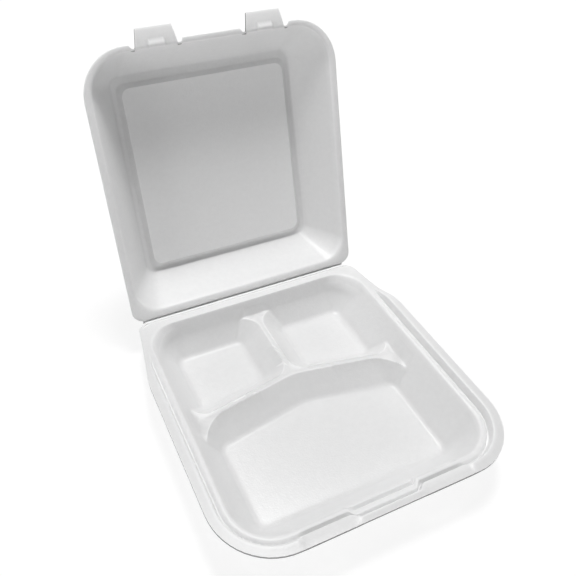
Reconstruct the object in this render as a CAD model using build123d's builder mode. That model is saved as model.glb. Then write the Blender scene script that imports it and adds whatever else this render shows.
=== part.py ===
"""A hinged foam food container: a three-compartment base and a lid with two closing tabs.

The whole container is thermoformed from one sheet of expanded foam. The base stands on its three
floors, with the origin on the table under the middle of the rim. X runs along the hinge, +Y to the
hinge at the back, +Z up. The lid is drawn open, as the container stands ready to be filled.
"""
from build123d import *
from math import atan2, radians, cos, sin, tan
import os

os.makedirs("parts", exist_ok=True)

# The foam sheet in the base and in the lid, where it is drawn a little thinner, and how much wider
# than the sheet a sloping wall measures along the level
sheet = 2.2
lid_sheet = 1.9
wall_growth = 2.7
lid_wall_growth = 2.2
foot_growth = 0.7
overrun = 3.0

# The base over all: across the flange, from its front edge to the hinge line, from the table up to
# the seat, from the seat up to the flange, and from the table to the top of the divider
base_width = 230.0
base_depth = 230.0
seat_height = 32.2
step_height = 5.0
divider_height = 17.2

# The rim's section, from the edge of the flange inwards
flange_width = 5.0
step_run = 3.0
groove_width = 0.8
groove_depth = 1.3
bead_run = 1.4
seat_width = 5.0
rim_corner_radius = 46.0
collar_depth = 3.8
seat_crown = 0.25

# The rim at the back, where the flange comes down to the level of the hinge
ramp_start = 58.0
ramp_end = 30.0
ramp_inset = 7.0
rear_corner_inset = 12.0
rear_corner_start = 7.0
rear_corner_radius = 7.0
hinge_length = 196.0
hinge_gap = 0.25
crease_offset = 2.9
crease_width = 1.0
crease_depth = 0.8

# The base's front rim: two slots that take the tabs, a low bar behind each, and a bulge between them
slot_clearance = 1.6
slot_height = 2.0
slot_drop = 2.8
slot_flange_width = 7.3
slot_step_run = 2.0
slot_floor_width = 1.9
bar_drop = 2.0
bar_run = 0.6
slot_end_run = 3.0
bulge_flange_width = 3.2
bulge_step_run = 3.6
bulge_groove_width = 0.6
bulge_bead_run = 1.2
bulge_seat_width = 2.4
bulge_dip_run = 0.6
bulge_dip = 2.4
bulge_end_run = 4.0

# The tub above the divider: distances in from the front edge, the sides and the hinge line
opening_back_margin = 9.7
opening_back_radius = 19.0
level_side_margin = 24.5
level_front_margin = 25.0
level_back_margin = 14.0
level_front_radius = 17.0
level_back_radius = 16.0

# The divider: a stem to the back and two arms that fall away to the sides
ribbon_width = 4.0
arm_apex_share = 0.62
arm_fall = 16.0
well_front_radius = 30.0
well_top_radius = 16.0
apex_radius = 40.0

# The floors of the three wells
floor_side_margin = 36.5
floor_front_margin = 36.0
floor_back_margin = 28.0
stem_wall_run = 18.0
arm_front_run = 19.0
arm_back_run = 13.5
floor_radius = 7.0

# The lid, measured from the hinge line along its lip, and into the lid from the lip
lid_open_angle = 110.7
lid_side_clearance = 1.2
lid_front_clearance = 4.8
lip_gap = 0.3
lip_width = 5.8
lip_front_width = 4.2
lip_back_width = 7.0
lip_front_radius = 36.0
lip_back_radius = 12.0
lip_back_rise = 13.0
lid_opening_front_radius = 31.0
lid_opening_back_radius = 21.0
lid_depth = 36.0
lid_side_run = 21.5
lid_front_run = 18.5
lid_back_run = 21.0
lid_panel_radius = 8.0

# The lid's panel, stepped inwards so that closed containers stack
panel_ledge_width = 5.5
panel_step_run = 3.5
panel_step = 3.5

# The tabs at the lid's front edge, which curl outwards
tab_centre_share = 0.193
tab_width_share = 0.14
tab_taper = 1.6
tab_curl_radius = 16.0
tab_curl_angle = 60.0
tab_side_gap = 4.8
tab_root_inset = 3.7
tab_lug_width = 12.5
tab_lug_length = 4.0
tab_lug_rise = 1.2
lug_inset = 1.0

# Rounding where the sheet bends at the floors and at the lid's panel, inside and outside
floor_round = 3.0
foot_round = 4.0
panel_round = 3.0
level_reach = 0.1

# Places that follow from the sizes above
half_width = base_width / 2
front_edge = -base_depth / 2
hinge_line = base_depth / 2
rim_height = seat_height + step_height
collar_height = seat_height - collar_depth
collar_drop = step_height + collar_depth
seat_margin = flange_width + step_run + groove_width + bead_run + seat_width
level_rise = seat_height - divider_height
side_slope = (level_side_margin - seat_margin) / level_rise
back_slope = (level_back_margin - opening_back_margin) / level_rise
collar_margin = seat_margin + side_slope * collar_depth
collar_back_margin = opening_back_margin + back_slope * collar_depth


def outline(points, radii, grow=0):
    """A face bounded by straight runs with a rounded corner at each point, grown all round."""
    with BuildSketch() as face:
        with BuildLine():
            FilletPolyline(*points, radius=radii, close=True)
        make_face()
        if grow:
            offset(amount=grow, kind=Kind.INTERSECTION)
    return face.sketch


def tub_outline(side_margin, front_margin, back_margin, front_radius, back_radius, grow=0):
    """The tub's outline at one level."""
    x = half_width - side_margin
    front = front_edge + front_margin
    back = hinge_line - back_margin
    points = [(-x, front), (x, front), (x, back), (-x, back)]
    return outline(points, [front_radius, front_radius, back_radius, back_radius], grow)


def seat_outline(grow=0):
    """The tub's opening, at the level of the seat."""
    return tub_outline(
        seat_margin, seat_margin, opening_back_margin,
        rim_corner_radius - seat_margin, opening_back_radius, grow,
    )


def collar_outline(grow=0):
    """The tub where its wall meets the underside of the rim."""
    return tub_outline(
        collar_margin, collar_margin, collar_back_margin,
        rim_corner_radius - collar_margin, opening_back_radius, grow,
    )


def level_outline(grow=0):
    """The tub at the top of the divider."""
    return tub_outline(
        level_side_margin, level_front_margin, level_back_margin,
        level_front_radius, level_back_radius, grow,
    )


def arm_line(x, aside):
    """How far back an arm of the divider lies at x, with a distance aside from its middle."""
    apex = front_edge + base_depth * arm_apex_share
    return apex + aside - arm_fall * x / (half_width - level_side_margin)


def front_well_top(grow=0):
    """The front well at the top of the divider, its back edge a shallow chevron."""
    x = half_width - level_side_margin
    front = front_edge + level_front_margin
    back = arm_line(x, -ribbon_width / 2)
    apex = arm_line(0, -ribbon_width / 2)
    points = [(-x, front), (x, front), (x, back), (0, apex), (-x, back)]
    radii = [level_front_radius, level_front_radius, well_front_radius, apex_radius, well_front_radius]
    return outline(points, radii, grow)


def front_well_floor(grow=0):
    """The front well's floor."""
    x = half_width - floor_side_margin
    front = front_edge + floor_front_margin
    back = arm_line(x, -ribbon_width / 2 - arm_front_run)
    apex = arm_line(0, -ribbon_width / 2 - arm_front_run)
    points = [(-x, front), (x, front), (x, back), (0, apex), (-x, back)]
    return outline(points, [floor_radius, floor_radius, floor_radius, apex_radius, floor_radius], grow)


def back_well(hand, stem, x, aside, back, radius, grow):
    """A back well's outline, on the right for hand 1 and on the left for -1."""
    points = [(stem, arm_line(stem, aside)), (x, arm_line(x, aside)), (x, back), (stem, back)]
    return outline([(hand * across, y) for across, y in points], radius, grow)


def back_well_top(hand, grow=0):
    """A back well at the top of the divider."""
    return back_well(
        hand, ribbon_width / 2, half_width - level_side_margin, ribbon_width / 2,
        hinge_line - level_back_margin, well_top_radius, grow,
    )


def back_well_floor(hand, grow=0):
    """A back well's floor."""
    return back_well(
        hand, ribbon_width / 2 + stem_wall_run, half_width - floor_side_margin,
        ribbon_width / 2 + arm_back_run, hinge_line - floor_back_margin, floor_radius, grow,
    )


def rim_points(tops, floor_drop, step_start, step_end):
    """The rim's section as points of distance inwards and height above the flange.

    tops holds the upper side from the edge to the seat, as distance and drop. From there the upper
    side follows the tub's wall to the collar, and the underside runs back one sheet lower.
    """
    shift = sheet * tan(atan2(floor_drop, step_end - step_start) / 2)
    under = [
        (collar_margin, collar_drop),
        (collar_margin - wall_growth, collar_drop),
        (step_end - shift, floor_drop + sheet),
        (step_start - shift, sheet),
        (0, sheet),
    ]
    return [(along, -drop) for along, drop in tops + under]


def wall_margin(drop):
    """How far in the tub's wall lies at a drop below the seat."""
    return seat_margin + side_slope * drop


def crowned(start, end, drop):
    """Points along a flat of the rim that is slightly crowned, from its outer edge to its inner."""
    shares = (0, 0.35, 0.65, 1)
    rises = [seat_crown * 4 * share * (1 - share) for share in shares]
    return [(start + share * (end - start), drop - rise) for share, rise in zip(shares, rises)]


groove_start = flange_width + step_run
bead_start = groove_start + groove_width + bead_run
groove_drop = step_height + groove_depth
side_tops = [
    (0, 0),
    (flange_width, 0),
    (groove_start, groove_drop),
    (groove_start + groove_width, groove_drop),
]
side_tops += crowned(bead_start, seat_margin, step_height)
side_section = rim_points(side_tops, groove_drop, flange_width, groove_start)

# The same section where the flange has come down level with the hinge
flat_width = seat_margin - ramp_inset
flat_shares = (0, 0.15, 0.3, 0.45, 0.6, 0.75, 0.9, 1)
flat_section = [
    (ramp_inset + share * flat_width, seat_crown * 4 * share * (1 - share) - step_height)
    for share in flat_shares
]
flat_section += [
    (collar_margin, -collar_drop),
    (collar_margin - wall_growth, -collar_drop),
    (ramp_inset + flat_width * 2 / 3, -step_height - sheet - seat_crown),
    (ramp_inset + flat_width / 3, -step_height - sheet),
    (ramp_inset, -step_height - sheet),
]

# At a tab slot the flange is wider, and a low bar stands behind a narrow trough
trough_start = slot_flange_width + slot_step_run
trough_drop = step_height + slot_drop
bar_start = trough_start + slot_floor_width + bar_run
slot_tops = [
    (0, 0),
    (slot_flange_width, 0),
    (trough_start, trough_drop),
    (trough_start + slot_floor_width, trough_drop),
]
slot_tops += crowned(bar_start, wall_margin(bar_drop), step_height + bar_drop)
slot_section = rim_points(slot_tops, trough_drop, slot_flange_width, trough_start)

# Between the slots the seat bulges towards the front edge, with a dip behind it
bulge_groove = bulge_flange_width + bulge_step_run
bulge_seat = bulge_groove + bulge_groove_width + bulge_bead_run
bulge_back = bulge_seat + bulge_seat_width
bulge_tops = [
    (0, 0),
    (bulge_flange_width, 0),
    (bulge_groove, groove_drop),
    (bulge_groove + bulge_groove_width, groove_drop),
    (bulge_seat, step_height),
    (bulge_back, step_height),
    (bulge_back + bulge_dip_run, step_height + bulge_dip),
    (wall_margin(bulge_dip), step_height + bulge_dip),
]
bulge_section = rim_points(bulge_tops, groove_drop, bulge_flange_width, bulge_groove)


def section(points):
    """A face with straight sides between its points."""
    with BuildSketch() as face:
        with BuildLine():
            Polyline(*points, close=True)
        make_face()
    return face.sketch


def side_plane(y):
    """Across the rim's left side at y, x inwards from the edge and y up from the flange."""
    return Plane(origin=(-half_width, y, rim_height), x_dir=(1, 0, 0), z_dir=(0, -1, 0))


def front_plane(x):
    """Across the front rim at x, x inwards from the edge and y up from the flange."""
    return Plane(origin=(x, front_edge, rim_height), x_dir=(0, 1, 0), z_dir=(1, 0, 0))


tab_centre = base_width * tab_centre_share
tab_root_width = base_width * tab_width_share
slot_length = tab_root_width + 2 * slot_clearance
slot_outer = tab_centre + slot_length / 2
slot_inner = tab_centre - slot_length / 2
corner_x = half_width - rim_corner_radius
corner_y = front_edge + rim_corner_radius

with BuildPart() as base:
    # The flat rim at the back, with the hinge edge at its middle
    edge_x = half_width - ramp_inset
    rear_x = half_width - rear_corner_inset
    rear_y = hinge_line - rear_corner_start
    hinge_x = hinge_length / 2
    hinge_edge = hinge_line - hinge_gap
    with BuildSketch(Plane.XY.offset(seat_height - sheet)):
        with BuildLine():
            FilletPolyline(
                (edge_x, hinge_line - ramp_end),
                (rear_x, rear_y),
                (hinge_x, hinge_edge),
                (-hinge_x, hinge_edge),
                (-rear_x, rear_y),
                (-edge_x, hinge_line - ramp_end),
                radius=[rear_corner_radius, hinge_gap, hinge_gap, rear_corner_radius],
            )
            Line((-edge_x, hinge_line - ramp_end), (edge_x, hinge_line - ramp_end))
        make_face()
    extrude(amount=sheet)
    with BuildSketch(Plane.XY.offset(collar_height)):
        add(collar_outline(wall_growth))
        with Locations((0, hinge_line - ramp_end)):
            Rectangle(base_width, ramp_end, align=(Align.CENTER, Align.MIN), mode=Mode.INTERSECT)
    extrude(amount=collar_depth)
    with BuildSketch(Plane.XY.offset(collar_height)):
        add(collar_outline())
    with BuildSketch(Plane.XY.offset(seat_height)):
        add(seat_outline())
    loft(mode=Mode.SUBTRACT)

    # The left half of the rim: the ramp, the side, the front corner and half of the front
    side_run = [
        (side_plane(hinge_line - ramp_end), flat_section),
        (side_plane(hinge_line - ramp_start), side_section),
        (side_plane(corner_y), side_section),
    ]
    for plane, points in side_run:
        with BuildSketch(plane):
            add(section(points))
    loft(ruled=True)
    with BuildSketch(side_plane(corner_y)):
        add(section(side_section))
    revolve(axis=Axis((-corner_x, corner_y, 0), (0, 0, 1)), revolution_arc=90)
    front_run = [
        (front_plane(-corner_x), side_section),
        (front_plane(-slot_outer - slot_end_run), side_section),
        (front_plane(-slot_outer), slot_section),
        (front_plane(-slot_inner), slot_section),
        (front_plane(-slot_inner + bulge_end_run), bulge_section),
        (front_plane(0), bulge_section),
    ]
    for plane, points in front_run:
        with BuildSketch(plane):
            add(section(points))
    loft(ruled=True)
    mirror(about=Plane.YZ)

    # The outside of the tub and of the three wells below it
    with BuildSketch(Plane.XY.offset(divider_height - sheet)):
        add(level_outline(foot_growth))
    with BuildSketch(Plane.XY.offset(collar_height)):
        add(collar_outline(wall_growth))
    loft()
    wells = [
        (front_well_floor(foot_growth), front_well_top(wall_growth)),
        (back_well_floor(-1, foot_growth), back_well_top(-1, wall_growth)),
        (back_well_floor(1, foot_growth), back_well_top(1, wall_growth)),
    ]
    for floor, top in wells:
        with BuildSketch(Plane.XY):
            add(floor)
        with BuildSketch(Plane.XY.offset(divider_height - sheet / 2)):
            add(top)
        loft()

    # The hollow of the tub and of the wells
    with BuildSketch(Plane.XY.offset(divider_height)):
        add(level_outline())
    with BuildSketch(Plane.XY.offset(collar_height)):
        add(collar_outline())
    loft(mode=Mode.SUBTRACT)
    hollows = [
        (front_well_floor(), front_well_top()),
        (back_well_floor(-1), back_well_top(-1)),
        (back_well_floor(1), back_well_top(1)),
    ]
    for floor, top in hollows:
        with BuildSketch(Plane.XY.offset(sheet)):
            add(floor)
        with BuildSketch(Plane.XY.offset(divider_height)):
            add(top)
        loft(mode=Mode.SUBTRACT)

    # The slots through the step, low enough for the tabs to pass under the flange
    slot_floor = rim_height - trough_drop
    slot_y = front_edge + slot_flange_width + slot_step_run / 2
    with Locations((tab_centre, slot_y, slot_floor), (-tab_centre, slot_y, slot_floor)):
        Box(
            slot_length, slot_step_run + 2 * sheet, slot_height,
            align=(Align.CENTER, Align.CENTER, Align.MIN), mode=Mode.SUBTRACT,
        )

    # The crease in front of the hinge edge
    with Locations((0, hinge_line - crease_offset, seat_height)):
        Box(hinge_length + overrun, crease_width, 2 * crease_depth, mode=Mode.SUBTRACT)

    # The bends at the foot of the walls
    floor_edges = base.edges().filter_by_position(Axis.Z, sheet - level_reach, sheet + level_reach)
    fillet(floor_edges, radius=floor_round)
    foot_edges = base.edges().filter_by_position(Axis.Z, -level_reach, level_reach)
    fillet(foot_edges, radius=foot_round)

base.part.label = "base"
export_step(base.part, "parts/base.step")

# The lid's places, measured from the hinge line
lid_half = half_width - flange_width - step_run - lid_side_clearance
lid_front = base_depth - flange_width - step_run - lid_front_clearance
lid_floor = lip_gap + lid_depth
tab_root = lid_front - tab_root_inset
open_angle = radians(lid_open_angle)
tab_tip_width = tab_root_width - 2 * tab_taper


hinge = Vector(0, hinge_line, seat_height)
inside = Vector(0, -sin(open_angle), -cos(open_angle))
along = Vector(0, -cos(open_angle), sin(open_angle))


def lid_plane(rise):
    """Parallel to the lip, x along the hinge, y away from it and z to the lid's inside."""
    return Plane(hinge + inside * rise, x_dir=(1, 0, 0), z_dir=inside)


def tab_plane(x):
    """Across a tab at x, its own x away from the hinge and y to the lid's inside."""
    return Plane(hinge + Vector(x, 0, 0), x_dir=along, z_dir=(1, 0, 0))


def lid_outline(side, back, front, back_radius, front_radius, grow=0):
    """A rounded outline in the lid from its half width and its back and front edges."""
    points = [(-side, back), (side, back), (side, front), (-side, front)]
    return outline(points, [back_radius, back_radius, front_radius, front_radius], grow)


def lid_opening(grow=0):
    """The lid's opening, inside the lip."""
    return lid_outline(
        lid_half - lip_width, lip_back_width, lid_front - lip_front_width,
        lid_opening_back_radius, lid_opening_front_radius, grow,
    )


def lid_panel(inset=0, grow=0):
    """The lid's panel, inset all round."""
    return lid_outline(
        lid_half - lip_width - lid_side_run - inset,
        lip_back_width + lid_back_run + inset,
        lid_front - lip_front_width - lid_front_run - inset,
        lid_panel_radius, lid_panel_radius, grow,
    )


with BuildPart() as lid:
    # The lip, with its back edge at the hinge
    with BuildSketch(lid_plane(-lip_gap)):
        with BuildLine():
            FilletPolyline(
                (-hinge_x, hinge_gap),
                (hinge_x, hinge_gap),
                (lid_half, lip_back_rise),
                (lid_half, lid_front),
                (-lid_half, lid_front),
                (-lid_half, lip_back_rise),
                radius=[
                    hinge_gap, hinge_gap, lip_back_radius,
                    lip_front_radius, lip_front_radius, lip_back_radius,
                ],
                close=True,
            )
        make_face()
    extrude(amount=-lid_sheet)

    # The bowl, outside and inside
    with BuildSketch(lid_plane(-lip_gap - lid_sheet / 2)):
        add(lid_opening(lid_wall_growth))
    with BuildSketch(lid_plane(-lid_floor - lid_sheet)):
        add(lid_panel(grow=foot_growth))
    loft()
    with BuildSketch(lid_plane(-lip_gap)):
        add(lid_opening())
    with BuildSketch(lid_plane(-lid_floor)):
        add(lid_panel())
    loft(mode=Mode.SUBTRACT)

    # The panel's middle, stepped inwards by the same amount on both faces
    panel_shift = lid_sheet * tan(atan2(panel_step, panel_step_run) / 2)
    with BuildSketch(lid_plane(-lid_floor)):
        add(lid_panel(panel_ledge_width))
    with BuildSketch(lid_plane(-lid_floor + panel_step)):
        add(lid_panel(panel_ledge_width + panel_step_run))
    loft()
    with BuildSketch(lid_plane(-lid_floor - lid_sheet)):
        add(lid_panel(panel_ledge_width + panel_shift))
    with BuildSketch(lid_plane(-lid_floor - lid_sheet + panel_step)):
        add(lid_panel(panel_ledge_width + panel_step_run + panel_shift))
    loft(mode=Mode.SUBTRACT)

    # The tabs, each between two notches in the lip, with a lug at its root
    with BuildSketch(lid_plane(-lip_gap)):
        with Locations((tab_centre, tab_root), (-tab_centre, tab_root)):
            Rectangle(
                tab_root_width + 2 * tab_side_gap, tab_root_inset + overrun,
                align=(Align.CENTER, Align.MIN),
            )
    extrude(amount=-lid_sheet, mode=Mode.SUBTRACT)
    tab_tip = tab_root + tab_curl_radius * sin(radians(tab_curl_angle))
    curl_centre = (tab_root, -lip_gap - tab_curl_radius)
    for side in (-1, 1):
        with BuildSketch(tab_plane(side * tab_centre)):
            with BuildLine():
                upper = CenterArc(curl_centre, tab_curl_radius, 90, -tab_curl_angle)
                lower = CenterArc(curl_centre, tab_curl_radius - lid_sheet, 90, -tab_curl_angle)
                Line(upper @ 1, lower @ 1)
                Line(upper @ 0, lower @ 0)
            make_face()
        extrude(amount=tab_root_width / 2, both=True)
    with BuildSketch(lid_plane(0)):
        for side in (-1, 1):
            for hand in (-1, 1):
                root = side * tab_centre + hand * tab_root_width / 2
                tip = side * tab_centre + hand * tab_tip_width / 2
                end = tab_tip + overrun
                with BuildLine():
                    Polyline((root, tab_root), (root, end), (tip, end), close=True)
                make_face()
    extrude(amount=-tab_curl_radius, mode=Mode.SUBTRACT)
    with BuildSketch(lid_plane(tab_lug_rise - lip_gap)):
        with Locations((tab_centre, tab_root - lug_inset), (-tab_centre, tab_root - lug_inset)):
            Rectangle(tab_lug_width, tab_lug_length, align=(Align.CENTER, Align.MIN))
    extrude(amount=-tab_lug_rise - lid_sheet / 2)

    # The bends round the panel, on both faces of the sheet
    lid_axis = Axis(hinge, inside)
    for face in (-lid_floor, -lid_floor - lid_sheet):
        for rise in (face, face + panel_step):
            bends = lid.edges().filter_by_position(lid_axis, rise - level_reach, rise + level_reach)
            fillet(bends, radius=panel_round)

lid.part.label = "lid"
export_step(lid.part, "parts/lid.step")
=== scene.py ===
from math import cos, radians, sin

import bmesh
import bpy
from mathutils import Matrix, Vector
from mathutils.geometry import interpolate_bezier


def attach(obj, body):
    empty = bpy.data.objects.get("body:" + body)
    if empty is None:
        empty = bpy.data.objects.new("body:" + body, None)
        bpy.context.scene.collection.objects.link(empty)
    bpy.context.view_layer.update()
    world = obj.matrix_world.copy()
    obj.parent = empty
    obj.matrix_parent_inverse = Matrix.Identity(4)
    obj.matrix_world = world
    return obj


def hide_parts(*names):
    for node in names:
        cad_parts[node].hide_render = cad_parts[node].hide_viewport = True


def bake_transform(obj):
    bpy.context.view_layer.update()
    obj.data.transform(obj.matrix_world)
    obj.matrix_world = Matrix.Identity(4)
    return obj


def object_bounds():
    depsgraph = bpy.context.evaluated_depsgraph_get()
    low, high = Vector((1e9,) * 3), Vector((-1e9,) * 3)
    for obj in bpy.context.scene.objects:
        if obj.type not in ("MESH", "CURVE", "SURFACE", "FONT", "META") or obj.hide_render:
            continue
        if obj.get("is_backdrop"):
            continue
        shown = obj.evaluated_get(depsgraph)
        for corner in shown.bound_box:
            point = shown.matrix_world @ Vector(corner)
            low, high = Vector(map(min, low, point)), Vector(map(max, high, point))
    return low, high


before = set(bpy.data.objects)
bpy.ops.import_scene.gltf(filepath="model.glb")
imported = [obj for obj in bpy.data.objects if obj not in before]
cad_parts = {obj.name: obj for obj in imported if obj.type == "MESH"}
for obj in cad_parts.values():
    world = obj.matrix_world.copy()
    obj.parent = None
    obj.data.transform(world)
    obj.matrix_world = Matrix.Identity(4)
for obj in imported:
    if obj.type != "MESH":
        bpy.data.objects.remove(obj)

cad_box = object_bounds()

# The base: one sheet of white expanded foam, drawn by heat and vacuum into three wells round a
# Y-shaped divider. Its rim steps down inside a raised flange, so that the lid nests in it, and
# comes down level with the hinge at the back. Sizes are in millimetres.
sheet = 2.2
divider_height = 17.2
tub_half, tub_front, tub_back = 90.5, -90, 101
tub_round, tub_back_round = 17, 16
tub_straight = tub_half - tub_round
fork, arm_fall, ridge_half = 27.5, 16, 2
ledge_gap = 0.5
floor_half, floor_front, floor_back = 78.5, -79, 87
front_wall_run, back_wall_run, stem_wall_run = 21, 15.5, 20
floor_round, floor_border = 3.2, 2
ridge_start, ridge_bend, ridge_bead = 0.7, 0.9, 0.35
arc_steps = 14


def smooth(value, start, end):
    """A soft step from 0 at start to 1 at end."""
    share = min(1, max(0, (value - start) / (end - start)))
    return share * share * (3 - 2 * share)


def ring_points(corners, runs):
    """A ring of points from corners (x, y, reach of the rounding, True to keep the corner sharp),
    each straight run cut in parts."""
    bm = bmesh.new()
    verts = [bm.verts.new((corner[0], corner[1], 0)) for corner in corners]
    bm.faces.new(verts)
    for vert, corner in zip(verts, corners):
        bmesh.ops.bevel(
            bm, geom=[vert], offset=corner[2], offset_type="OFFSET", affect="VERTICES",
            segments=arc_steps, profile=1 if len(corner) > 3 else 0.5, material=-1,
        )
    bm.faces.ensure_lookup_table()
    loop = [corner.vert.co.copy() for corner in bm.faces[0].loops]
    bm.free()
    first, second = Vector(corners[0][:2]).to_3d(), Vector(corners[1][:2]).to_3d()
    ahead = (second - first).normalized()
    run_start, run_end = first + ahead * corners[0][2], second - ahead * corners[1][2]
    start = min(range(len(loop)), key=lambda i: (loop[i] - run_start).length)
    loop = loop[start:] + loop[:start]
    if (loop[1] - run_end).length > 1e-3:
        loop = [loop[0]] + loop[:0:-1]
    step = arc_steps + 1
    points = []
    for i, parts in enumerate(runs):
        a, b = loop[i * step], loop[i * step + 1]
        points += [a.lerp(b, part / parts) for part in range(parts)]
        points += loop[i * step + 1:(i + 1) * step]
    return points


def ring_edges(bm, ring):
    """The edges of a closed ring of vertices."""
    return [bm.edges.get((a, b)) for a, b in zip(ring, ring[1:] + ring[:1])]


def start_ring(bm, places):
    """A closed ring of vertices with the edges between them."""
    ring = [bm.verts.new(place) for place in places]
    for a, b in zip(ring, ring[1:] + ring[:1]):
        bm.edges.new((a, b))
    return ring


def grow_ring(bm, ring, places):
    """Extrudes a closed ring of vertices and moves each new one to its place."""
    made = set(bmesh.ops.extrude_edge_only(bm, edges=ring_edges(bm, ring))["geom"])
    fresh = []
    for vert, place in zip(ring, places):
        new = next(e.other_vert(vert) for e in vert.link_edges if e.other_vert(vert) in made)
        new.co = place
        fresh.append(new)
    return fresh


def extrude_row(bm, edges):
    """Extrudes a row of edges, and gives each new vertex with the one that it came from, the new
    row of edges, and the faces between the rows."""
    made = bmesh.ops.extrude_edge_only(bm, edges=edges)["geom"]
    fresh = {v for v in made if isinstance(v, bmesh.types.BMVert)}
    sources = {}
    for vert in fresh:
        others = (e.other_vert(vert) for e in vert.link_edges)
        sources[vert] = next(other for other in others if other not in fresh)
    row = [
        e for e in made if isinstance(e, bmesh.types.BMEdge) and all(v in fresh for v in e.verts)
    ]
    return sources, row, [f for f in made if isinstance(f, bmesh.types.BMFace)]


def round_edges(bm, edges, reach, segments):
    """Rounds the bend along some edges."""
    bmesh.ops.bevel(
        bm, geom=edges, offset=reach, offset_type="OFFSET", affect="EDGES",
        segments=segments, profile=0.5, material=-1,
    )


def arm_line(x, aside):
    """How far back an arm of the divider lies at x, with a distance aside from its middle."""
    return fork + aside - arm_fall * abs(x) / tub_half


def tub_depth(x, y):
    """How far inside the tub's outline at the divider's level a point lies."""
    middle, half_length = (tub_back + tub_front) / 2, (tub_back - tub_front) / 2
    across, along = abs(x) - tub_straight, abs(y - middle) - (half_length - tub_round)
    outside = Vector((max(across, 0), max(along, 0))).length
    return tub_round - outside - min(max(across, along), 0)


def level_height(depth):
    """The height of a well's edge: level along the divider, and down the wall along the tub."""
    wall_fall = 1.2
    return divider_height - wall_fall * depth * (1 - smooth(depth, ridge_start, 1.6))


def wall_share(x, y):
    """How far the tub's wall sweeps at a point of its outline: not at all at the divider's ends."""
    on_outline = 0.3
    if tub_depth(x, y) > on_outline:
        return 0
    ends = ((tub_half, arm_end), (-tub_half, arm_end), (0, tub_back))
    return smooth(min(Vector((x - u, y - v)).length for u, v in ends), 5, 22)


# Each well has three outlines, with corners as (x, y, reach of the rounding): its border on the
# divider's and the tub's middle line, the edge where its walls begin, and the foot of its walls.
arm_end = arm_line(tub_half, 0)
edge_half, edge_front, edge_back = tub_half - ledge_gap, tub_front + ledge_gap, tub_back - ledge_gap
front_edge_end, back_edge_end = arm_line(edge_half, -ridge_half), arm_line(edge_half, ridge_half)
front_foot_end = arm_line(floor_half, -front_wall_run)
back_foot_end = arm_line(floor_half, back_wall_run)
front_runs = (112, 30, 30, 30, 30)
front_well = [
    [(-tub_half, tub_front, 17), (tub_half, tub_front, 17), (tub_half, arm_end, 20, True),
     (0, fork, 10, True), (-tub_half, arm_end, 20, True)],
    [(-edge_half, edge_front, 17), (edge_half, edge_front, 17), (edge_half, front_edge_end, 24.6),
     (0, fork - ridge_half, 9), (-edge_half, front_edge_end, 24.6)],
    [(-floor_half, floor_front, 7), (floor_half, floor_front, 7), (floor_half, front_foot_end, 6),
     (0, fork - front_wall_run, 9), (-floor_half, front_foot_end, 6)],
]
back_runs = (30, 24, 30, 24)
back_well = [
    [(0, fork, 10, True), (tub_half, arm_end, 20, True), (tub_half, tub_back, 16),
     (0, tub_back, 17, True)],
    [(ridge_half, arm_line(ridge_half, ridge_half), 12.6), (edge_half, back_edge_end, 16.7),
     (edge_half, edge_back, 16), (ridge_half, edge_back, 17)],
    [(stem_wall_run, arm_line(stem_wall_run, back_wall_run), 5), (floor_half, back_foot_end, 7.1),
     (floor_half, floor_back, 7), (stem_wall_run, floor_back, 6)],
]
sweep_shares = (0.36, 0.44, 0.52, 0.6, 0.7, 0.82)
floor_edges = []
tub_walls = []
bm = bmesh.new()
for outlines, runs, hands in ((front_well, front_runs, (1,)), (back_well, back_runs, (1, -1))):
    for hand in hands:
        border, edge, foot = (
            [Vector((hand * p.x, p.y, 0)) for p in ring_points(corners, runs)]
            for corners in outlines
        )
        flats, beads, falls, middles, lows = [], [], [], [], []
        for p, q, r in zip(border, edge, foot):
            depth = tub_depth(q.x, q.y)
            p.z, q.z, r.z = divider_height, level_height(max(0, depth)), sheet
            flats.append(q + (p - q) * min(0.5, ridge_bend / max(ridge_bend, (p - q).length)))
            beads.append(q + Vector((0, 0, ridge_bead * smooth(depth, ridge_start, 2.2))))
            falls.append(q + (r - q).normalized() * ridge_bend)
            middles.append(falls[-1].lerp(r, 0.33))
            lows.append(falls[-1].lerp(r, 0.62))
        ring = None
        for share, places in zip(sweep_shares, (border, flats, beads, falls, middles, lows)):
            ring = grow_ring(bm, ring, places) if ring else start_ring(bm, places)
            for vert, p, r in zip(ring, border, foot):
                tub_walls.append((vert, share, wall_share(p.x, p.y), p, r))
        ring = grow_ring(bm, ring, foot)
        bm.faces.new(ring)
        floor_edges += ring_edges(bm, ring)
bmesh.ops.recalc_face_normals(bm, faces=bm.faces)
round_edges(bm, floor_edges, floor_round, 5)
floors = sorted(bm.faces, key=lambda face: face.calc_area())[-3:]
bmesh.ops.inset_individual(bm, faces=floors, thickness=floor_border, use_even_offset=True)
bmesh.ops.remove_doubles(bm, verts=bm.verts, dist=0.02)

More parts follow.
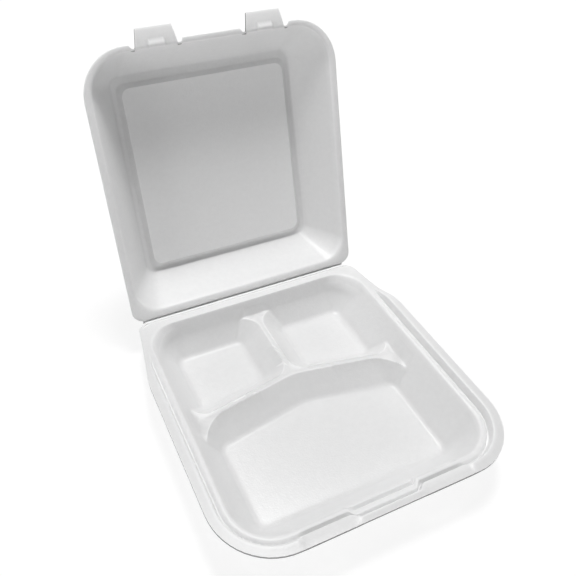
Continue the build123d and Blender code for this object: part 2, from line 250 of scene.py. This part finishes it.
# The rim: the same sheet from the tub's wall out to its cut edge. Its section is given as corners
# with their distance in from the edge, their drop below the flange and the reach of their rounding:
# along the sides, at a tab slot, and at the bulge between the slots.
rim_height = 37.2
seat_height = 32.2
flange_half, flange_round = 115, 46
flange_straight = flange_half - flange_round
seat_inner, seat_edge, cut_edge = 15.2, 15, 1.3
hinge_edge, hinge_draw = 114.6, 9.75
back_edge_round, back_round_growth = 8, 16
fall_start, fall_end = 50, 80
draw_start, draw_root, draw_lead = 40, 101, 6.5
corner_start, corner_run, corner_draw = 106, 8.75, 7.2
crimp_front, crimp_half, crimp_depth, crimp_shoulder = 108, 100, 1.4, 0.2
side_corners = [
    (18.4, 10.15, 0.3), (17.2, 8.2, 0.3), (seat_inner, 5.0, 1.2), (12.0, 4.9, 1.1),
    (10.3, 7.0, 0.5), (9.2, 7.0, 0.4), (7.4, 0.0, 1.1), (4.2, 0.3, 0.6), (1.1, 0.55, 0.5),
    (0.0, 0.6, 0),
]
slot_corners = [
    (18.4, 10.4, 0.3), (16.2, 8.7, 0.3), (14.9, 5.1, 0.4), (12.7, 4.7, 0.5), (10.9, 6.9, 0.4),
    (10.1, 7.2, 0.3), (9.0, 2.0, 0.8), (4.2, 1.1, 0.6), (1.1, 0.8, 0.5), (0.0, 0.8, 0),
]
bulge_corners = [
    (15.4, 6.0, 0.8), (12.6, 8.3, 0.6), (11.9, 5.4, 0.6), (8.4, 4.7, 0.7), (7.1, 7.2, 0.4),
    (6.3, 7.2, 0.3), (4.6, 0.2, 0.9), (3.0, 0.4, 0.4), (1.1, 0.65, 0.5), (0.0, 0.7, 0),
]
corner_parts = 4
groove_step = 4 * corner_parts
riser_steps = (6 * corner_parts, 6 * corner_parts + 1)
crimp_steps = range(7 * corner_parts, 8 * corner_parts)
slot_inner, slot_outer = 25.0, 63.0
slot_start, slot_end = 29, 62
front_side, back_side = -80, 95
edge_widths = [
    (45, 115), (55, 113.8), (65, 111.7), (75, 109.9), (85, 108.1), (95, 106.4), (106, 104.6),
]


def section(corners):
    """A section of the rim with its corners rounded, from the wall below it."""
    wall_below = Vector((26.0, 21.0, 0))
    spots = [wall_below] + [Vector((away, drop, 0)) for away, drop, reach in corners]
    line = []
    for i, (away, drop, reach) in enumerate(corners[:-1]):
        before, here, after = spots[i:i + 3]
        a = here + (before - here).normalized() * reach
        b = here + (after - here).normalized() * reach
        line += interpolate_bezier(a, a.lerp(here, 0.6), b.lerp(here, 0.6), b, corner_parts)
    return line + [spots[-1]]


side_line, slot_line, bulge_line = map(section, (side_corners, slot_corners, bulge_corners))


def rim_profile(run, y, step):
    """How far in from the edge and how far below the flange a step of the rim lies."""
    away, drop = side_line[step][:2]
    if y < front_side and run < flange_straight:
        swing, slot_fade = (5.0, 2.0) if step < groove_step else (7.0, 5.0)
        bulge_end = slot_inner + 1
        at_bulge = 1 - smooth(run, bulge_end - swing / 2, bulge_end + swing / 2)
        at_slot = 1 - at_bulge - smooth(run, slot_outer, slot_outer + slot_fade)
        for weight, line in ((at_slot, slot_line), (at_bulge, bulge_line)):
            away += weight * (line[step][0] - side_line[step][0])
            drop += weight * (line[step][1] - side_line[step][1])
    return away, drop


def rim_spot(x, y, run, away):
    """Where a point of the tub's outline, on its right half, comes to lie on a ring of the rim."""
    half, front = flange_half - away, away - flange_half
    share = away / seat_inner
    back = hinge_edge - hinge_draw * share
    back_round = back_edge_round + back_round_growth * share
    front_round = flange_round - away
    front_corner, back_corner = tub_front + tub_round, tub_back - tub_back_round
    back_straight = tub_half - tub_back_round
    if y < front_corner and x > tub_straight:
        turn = Vector((x - tub_straight, y - front_corner)) / tub_round
        return Vector((half - front_round, front + front_round)) + turn * front_round
    if y > back_corner and x > back_straight:
        turn = Vector((x - back_straight, y - back_corner)) / tub_back_round
        return Vector((half - back_round, back - back_round)) + turn * back_round
    if y < front_side:
        return Vector((run, front))
    if y > back_side:
        return Vector((x * (half - back_round) / back_straight, back))
    along = (y - front_corner) / (back_corner - front_corner)
    start, end = front + front_round, back - back_round
    return Vector((half, start + along * (end - start)))


def flange_reach(y):
    """Half the width of the flange, which draws in towards the hinge."""
    for (y0, half0), (y1, half1) in zip(edge_widths, edge_widths[1:]):
        if y0 <= y < y1:
            return half0 + (half1 - half0) * (y - y0) / (y1 - y0)
    return edge_widths[0][1] if y < edge_widths[0][0] else edge_widths[-1][1]


def rim_place(x, y, step):
    """Where a point of the tub's outline comes to lie on a step of the rim."""
    run = abs(x) * flange_straight / tub_straight
    away, drop = rim_profile(run, y, step)
    place = rim_spot(abs(x), y, run, away)
    raised = 1 - smooth(place.y, fall_start, fall_end)
    inner = draw_root + draw_lead * raised ** 0.5
    if place.x > inner and place.y > draw_start:
        narrowing = (flange_reach(place.y) - inner) / (flange_half - inner)
        place.x = inner + (place.x - inner) * narrowing
    if place.y > corner_start:
        bend = ((place.y - corner_start) / corner_run) ** 1.4
        place.x -= corner_draw * bend * smooth(place.x, 70, 102)
    if away < cut_edge:
        lift = (rim_height - seat_height) * raised
        height = seat_height + lift - drop * (0.4 + 0.6 * raised)
    else:
        lift = raised if away < seat_edge else 1
        height = seat_height + (rim_height - drop - seat_height) * lift
    if step in crimp_steps and place.y > crimp_front and place.x < crimp_half:
        height -= crimp_depth if step in crimp_steps[1:3] else crimp_shoulder
    return (place.x if x > 0 else -place.x, place.y, height)


rim_edges = [e for e in bm.edges if e.is_boundary]
outline_spots = {v: (v.co.x, v.co.y) for e in rim_edges for v in e.verts}
slot_faces = []
for step in range(len(side_line)):
    sources, rim_edges, step_faces = extrude_row(bm, rim_edges)
    outline_spots = {vert: outline_spots[source] for vert, source in sources.items()}
    for vert, spot in outline_spots.items():
        vert.co = rim_place(*spot, step)
    if step in riser_steps:
        for face in step_faces:
            middle = face.calc_center_median()
            if middle.y < front_side and slot_start < abs(middle.x) < slot_end:
                slot_faces.append(face)
bmesh.ops.delete(bm, geom=slot_faces, context="FACES")
for vert, share, weight, border, foot in tub_walls:
    if vert.is_valid and weight:
        top = Vector(rim_place(border.x, border.y, 0))
        sweep = top * (1 - share) ** 2 + border * 2 * share * (1 - share) + foot * share ** 2
        vert.co = vert.co.lerp(sweep, weight)

# The foam: white expanded polymer with a satin skin. Its fine cells show as a faint mottle and
# grain; its colour also carries a painted highlight on the ridges and painted shade in the creases.
foam = bpy.data.materials.new("white_foam")
foam.use_nodes = True


def add_node(tree, kind, values=None):
    """A new node of a material or the room, with the values of its sockets."""
    node = tree.nodes.new("ShaderNode" + kind)
    for socket, value in (values or {}).items():
        node.inputs[socket].default_value = value
    return node


def set_tints(ramp, tints):
    """Gives a ramp of two tints their places and their colours."""
    for element, (position, colour) in zip(ramp.color_ramp.elements, tints):
        element.position = position
        element.color = (*colour, 1)


tree = foam.node_tree
links = tree.links
skin = tree.nodes["Principled BSDF"]
skin.inputs["Specular IOR Level"].default_value = 0.35
coords = add_node(tree, "TexCoord")
mottle = add_node(tree, "TexNoise", {"Scale": 260, "Detail": 5, "Roughness": 0.6})
tint = add_node(tree, "ValToRGB")
set_tints(tint, ((0.3, (0.89, 0.89, 0.892)), (0.7, (0.92, 0.92, 0.92))))
sheen = add_node(tree, "MapRange", {"To Min": 0.28, "To Max": 0.42})
curvature = add_node(tree, "NewGeometry")
# Painted highlight and painted shade: the curvature lightens the colour on ridges and greys it in creases.
ridge_light_crease_shade = add_node(
    tree, "MapRange", {"From Min": 0.465, "From Max": 0.535, "To Min": 0.84, "To Max": 1.06}
)
tint_with_painted_light = add_node(tree, "VectorMath")
tint_with_painted_light.operation = "SCALE"
cells = add_node(tree, "TexVoronoi", {"Scale": 900})
grain = add_node(tree, "TexNoise", {"Scale": 480, "Detail": 4})
cell_bump = add_node(tree, "Bump", {"Strength": 0.12, "Distance": 0.0004})
grain_bump = add_node(tree, "Bump", {"Strength": 0.2, "Distance": 0.0005})
for texture in (mottle, cells, grain):
    links.new(coords.outputs["Object"], texture.inputs["Vector"])
links.new(mottle.outputs["Fac"], tint.inputs["Fac"])
links.new(curvature.outputs["Pointiness"], ridge_light_crease_shade.inputs["Value"])
links.new(tint.outputs["Color"], tint_with_painted_light.inputs[0])
links.new(ridge_light_crease_shade.outputs["Result"], tint_with_painted_light.inputs["Scale"])
links.new(tint_with_painted_light.outputs["Vector"], skin.inputs["Base Color"])
links.new(mottle.outputs["Fac"], sheen.inputs["Value"])
links.new(sheen.outputs["Result"], skin.inputs["Roughness"])
links.new(cells.outputs["Distance"], cell_bump.inputs["Height"])
links.new(grain.outputs["Fac"], grain_bump.inputs["Height"])
links.new(cell_bump.outputs["Normal"], grain_bump.inputs["Normal"])
links.new(grain_bump.outputs["Normal"], skin.inputs["Normal"])

# The cut edges: where the die cuts the sheet, the edge is matt and painted a dark grey, painted
# shade that darkens the white foam along the cut.
cut = bpy.data.materials.new("cut_foam_painted_shade")
cut.use_nodes = True
tree = cut.node_tree
links = tree.links
cut_shade_bsdf = tree.nodes["Principled BSDF"]
cut_shade_bsdf.inputs["Specular IOR Level"].default_value = 0.1
cut_shade_bsdf.inputs["Roughness"].default_value = 0.9
coords = add_node(tree, "TexCoord")
cells = add_node(tree, "TexVoronoi", {"Scale": 1400})
tint = add_node(tree, "ValToRGB")
# This dark grey is painted shade along the cut edges.
set_tints(tint, ((0.1, (0.32, 0.32, 0.32)), (0.6, (0.42, 0.42, 0.42))))
links.new(coords.outputs["Object"], cells.inputs["Vector"])
links.new(cells.outputs["Distance"], tint.inputs["Fac"])
links.new(tint.outputs["Color"], cut_shade_bsdf.inputs["Base Color"])


def make_piece(bm, name, thickness, facing, place=None):
    """Welds a drawn face of the sheet, turns it to face one way, scales it to metres, and makes it
    a piece of foam with the sheet's thickness behind that face and its cut edges eased."""
    bmesh.ops.remove_doubles(bm, verts=bm.verts, dist=0.04)
    bmesh.ops.recalc_face_normals(bm, faces=bm.faces)
    biggest = max(bm.faces, key=lambda face: face.calc_area())
    if biggest.normal.dot(Vector(facing)) < 0:
        bmesh.ops.reverse_faces(bm, faces=bm.faces)
    if place:
        bmesh.ops.transform(bm, matrix=place, verts=bm.verts)
    bmesh.ops.scale(bm, vec=(0.001, 0.001, 0.001), verts=bm.verts)
    many_corners = 9
    for face in bm.faces:
        face.smooth = len(face.verts) < many_corners
    mesh = bpy.data.meshes.new(name)
    bm.to_mesh(mesh)
    bm.free()
    mesh.materials.append(foam)
    mesh.materials.append(cut)
    piece = bpy.data.objects.new(name, mesh)
    bpy.context.scene.collection.objects.link(piece)
    solid = piece.modifiers.new("sheet", "SOLIDIFY")
    solid.thickness = thickness / 1000
    solid.offset = -1
    # The sheet's rim faces take the cut material, painted shade along the cut edges.
    solid.material_offset_rim = 1
    eased = piece.modifiers.new("eased edges", "BEVEL")
    eased.width = 0.0004
    eased.segments = 2
    eased.limit_method = "ANGLE"
    eased.angle_limit = radians(84)
    return piece


base_shell = make_piece(bm, "base_shell", sheet, (0, 0, 1))
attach(base_shell, "base")
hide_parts("base")

# The lid: the same foam sheet beyond the hinge, drawn into a bowl with a stepped panel, its lip cut
# into two tabs at the front that curl outwards. Drawn on the lip's plane: x along the hinge, y away
# from it and z to the inside, then turned open about the hinge.
lid_sheet = 1.9
lip = -0.3
lip_root = 213.6
lid_open = radians(110.7)
hinge_line = 115
tab_centre, root_half, tip_half = 44.5, 16.8, 14.2
notch_start, notch_end, notch_reach = 18.6, 21.4, 72
lid_runs = (40, 40, 154, 40)
panel_border = 2

# Rings from the cut edge to the panel: half the width, back, front, rounding of the back and of the
# front corners, and depth below the lip.
lip_rings = [
    (105.8, 0.4, 217.2, 10, 36, 0.5),
    (105.4, 0.8, 216.8, 9.8, 35.6, 0.12),
    (104.8, 1.4, 216.2, 9.4, 35, 0),
    (101.6, 5.4, lip_root, 18, 32.5, 0),
]
bowl_rings = [
    (100, 7, 212.6, 21, 31, 0.6),
    (99.4, 7.6, 212.1, 20.6, 30.4, 1.6),
    (97.4, 9.6, 210.4, 19.4, 28.3, 5),
    (81.3, 25.3, 196.8, 9.7, 11, 31.4),
    (78.5, 28, 194.5, 8, 8, 36),
    (74.5, 31.6, 188.6, 7, 7, 36),
    (70.8, 35.3, 184.9, 7, 7, 32.5),
]


def lip_reach(x):
    """How much of its width the lip keeps in front: hardly any at the tabs, all beside them."""
    least = 0.04
    return least + (1 - least) * smooth(abs(abs(x) - tab_centre), notch_start, notch_end)


def lid_ring(half, back, front, back_round, front_round, depth):
    """A ring round the lid, notched in front on both sides of each tab where it lies on the lip."""
    corners = [
        (-half, back, back_round), (half, back, back_round),
        (half, front, front_round), (-half, front, front_round),
    ]
    ring = []
    for x, y, z in ring_points(corners, lid_runs):
        if y > lip_root and abs(x) < notch_reach:
            y = lip_root + (y - lip_root) * lip_reach(x)
        ring.append((x, y, lip - depth))
    return ring


bm = bmesh.new()
rings = []
for sizes in lip_rings + bowl_rings:
    places = lid_ring(*sizes)
    rings.append(grow_ring(bm, rings[-1], places) if rings else start_ring(bm, places))
lip_edge, rolled, near_edge, root = rings[:4]
wall_foot, ledge, island = rings[-3:]
panel = bm.faces.new(island)
bmesh.ops.inset_individual(bm, faces=[panel], thickness=panel_border, use_even_offset=True)

# The tabs grow from the lip's root and curl outwards, narrowing to their tips, with a low lug in
# the middle of each root.
curl_radius, curl_angle, curl_steps = 50, radians(16), 9
lug_half, lug_height, lug_rows = 6.3, 1.2, 3
tab_edges = []
lip_faces = set()
for i, (a, b) in enumerate(zip(root, root[1:] + root[:1])):
    middle = (a.co + b.co) / 2
    if middle.y > lip_root - 0.6 and abs(abs(middle.x) - tab_centre) < root_half:
        tab_edges.append(bm.edges.get((a, b)))
        for ring in (near_edge, rolled, lip_edge):
            lip_faces.update(bm.edges.get((ring[i], ring[(i + 1) % len(ring)])).link_faces)
bmesh.ops.delete(bm, geom=list(lip_faces), context="FACES")
tab_rows = [{v for e in tab_edges for v in e.verts}]
for step in range(1, curl_steps + 1):
    turn = curl_angle * step / curl_steps
    before, half = (
        root_half + (tip_half - root_half) * part / curl_steps for part in (step - 1, step)
    )
    sources, tab_edges, tab_faces = extrude_row(bm, tab_edges)
    for vert, source in sources.items():
        middle = tab_centre if vert.co.x > 0 else -tab_centre
        vert.co.x = middle + (source.co.x - middle) * half / before
        vert.co.y = lip_root + curl_radius * sin(turn)
        vert.co.z = lip - curl_radius * (1 - cos(turn))
    tab_rows.append(set(sources))
for row in tab_rows[:lug_rows]:
    for vert in row:
        if abs(abs(vert.co.x) - tab_centre) < lug_half:
            vert.co.z += lug_height
bmesh.ops.recalc_face_normals(bm, faces=bm.faces)
round_edges(bm, ring_edges(bm, wall_foot), 1.6, 4)
round_edges(bm, ring_edges(bm, ledge) + ring_edges(bm, island), 0.8, 3)
lid_turn = Matrix.Translation((0, hinge_line, seat_height)) @ Matrix((
    (1, 0, 0, 0),
    (0, -cos(lid_open), -sin(lid_open), 0),
    (0, sin(lid_open), -cos(lid_open), 0),
    (0, 0, 0, 1),
))
lid_shell = make_piece(bm, "lid_shell", lid_sheet, (0, 0, 1), lid_turn)
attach(lid_shell, "lid")
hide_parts("lid")

# The hinge: the sheet itself, pressed thin along the fold between base and lid, so that it bends
# there. It lies below the two rolled edges and shows as a dark crease.
crease_sheet = 0.6
crease_half, crease_part = 98, 7
crease_line = [
    (114.45, 30.2), (114.9, 29.9), (115.5, 29.9), (116.1, 30.3), (116.5, 31.0), (116.6, 31.9),
]
bm = bmesh.new()
row = [
    bm.verts.new((x, *crease_line[0])) for x in range(-crease_half, crease_half + 1, crease_part)
]
fold = [bm.edges.new(pair) for pair in zip(row, row[1:])]
for y, z in crease_line[1:]:
    sources, fold, fold_faces = extrude_row(bm, fold)
    for vert in sources:
        vert.co.y, vert.co.z = y, z
hinge_crease = make_piece(bm, "hinge_crease", crease_sheet, (0, -1, 1))
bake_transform(hinge_crease)

# The floor: a pale sheet of paper under the container. It is white to the camera, more so further
# off, and keeps the container's shadow; to the other rays it glows faintly, a painted glow that
# lights the container from below.
floor_reach = 3
bm = bmesh.new()
bmesh.ops.create_grid(bm, x_segments=1, y_segments=1, size=floor_reach)
floor_mesh = bpy.data.meshes.new("floor")
bm.to_mesh(floor_mesh)
bm.free()
floor = bpy.data.objects.new("floor", floor_mesh)
bpy.context.scene.collection.objects.link(floor)
paper = bpy.data.materials.new("floor_paper")
paper.use_nodes = True


def mix_by_sight(tree, lighting, seen, output):
    """Shows one shader to the rays that the camera, a gloss or a clear body sees by, and lights the
    container with the other."""
    path = add_node(tree, "LightPath")
    either, through = add_node(tree, "Math"), add_node(tree, "Math")
    either.operation = through.operation = "MAXIMUM"
    mix = add_node(tree, "MixShader")
    tree.links.new(path.outputs["Is Camera Ray"], either.inputs[0])
    tree.links.new(path.outputs["Is Glossy Ray"], either.inputs[1])
    tree.links.new(either.outputs["Value"], through.inputs[0])
    tree.links.new(path.outputs["Is Transmission Ray"], through.inputs[1])
    tree.links.new(through.outputs["Value"], mix.inputs["Fac"])
    tree.links.new(lighting, mix.inputs[1])
    tree.links.new(seen, mix.inputs[2])
    tree.links.new(mix.outputs["Shader"], tree.nodes[output].inputs["Surface"])


tree = paper.node_tree
links = tree.links
glowing_matt = tree.nodes["Principled BSDF"]
glowing_matt.inputs["Base Color"].default_value = (0.8, 0.8, 0.8, 1)
glowing_matt.inputs["Roughness"].default_value = 1
glowing_matt.inputs["Specular IOR Level"].default_value = 0
# A painted glow: the paper gives off a faint light of its own onto the container from below.
glowing_matt.inputs["Emission Color"].default_value = (1, 1, 1, 1)
glowing_matt.inputs["Emission Strength"].default_value = 0.2
faint = add_node(tree, "BsdfDiffuse", {"Color": (0.24, 0.24, 0.24, 1)})
white = add_node(tree, "Emission")
coords = add_node(tree, "TexCoord")
distance = add_node(tree, "VectorMath")
distance.operation = "LENGTH"
fade = add_node(
    tree, "MapRange", {"From Min": 0.4, "From Max": 1.8, "To Min": 0.84, "To Max": 0.99}
)
paper_seen = add_node(tree, "AddShader")
links.new(coords.outputs["Object"], distance.inputs[0])
links.new(distance.outputs["Value"], fade.inputs["Value"])
links.new(fade.outputs["Result"], white.inputs["Strength"])
links.new(faint.outputs["BSDF"], paper_seen.inputs[0])
links.new(white.outputs["Emission"], paper_seen.inputs[1])
mix_by_sight(tree, glowing_matt.outputs["BSDF"], paper_seen.outputs["Shader"], "Material Output")
floor.data.materials.append(paper)
floor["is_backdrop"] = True

# The light: a soft lamp overhead, a little behind and to the right, with weak wide ones behind, low
# on the left and low in front, in a pale room that the camera sees as white.
world = bpy.data.worlds.new("room")
bpy.context.scene.world = world
world.use_nodes = True
tree = world.node_tree
room = tree.nodes["Background"]
room.inputs["Color"].default_value = (1, 1, 1, 1)
room.inputs["Strength"].default_value = 0.13
backdrop = add_node(tree, "Background", {"Color": (1, 1, 1, 1), "Strength": 1})
mix_by_sight(tree, room.outputs["Background"], backdrop.outputs["Background"], "World Output")
lamp_target = Vector((0, 0.05, 0.05))
for name, place, energy, size in (
    ("overhead", (0.11, 0.30, 1.27), 11.3, 0.35),
    ("behind", (0.7, 0.95, 0.6), 1.0, 0.7),
    ("left", (-1.0, -0.25, 0.12), 2.4, 0.4),
    ("front", (0, -1.0, 0.15), 1.2, 0.8),
):
    lamp_data = bpy.data.lights.new(name, "AREA")
    lamp_data.energy = energy
    lamp_data.size = size
    lamp = bpy.data.objects.new(name, lamp_data)
    lamp.location = place
    lamp.rotation_euler = (lamp_target - lamp.location).to_track_quat("-Z", "Y").to_euler()
    bpy.context.scene.collection.objects.link(lamp)
bpy.context.scene.view_settings.view_transform = "Standard"

# The camera: in front of the left corner, looking down on the open container.
camera_data = bpy.data.cameras.new("camera")
camera_data.sensor_width = 36
camera_data.lens = 39.076
camera_data.shift_x = 0.0789
camera_data.shift_y = 0.0013
camera = bpy.data.objects.new("camera", camera_data)
camera.location = (-0.17745, -0.25518, 0.41489)
camera.rotation_euler = (radians(47.224), radians(-0.828), radians(-24.1065))
bpy.context.scene.collection.objects.link(camera)
bpy.context.scene.camera = camera

size = {"cad": [list(corner) for corner in cad_box], "visual": [list(corner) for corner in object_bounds()]}
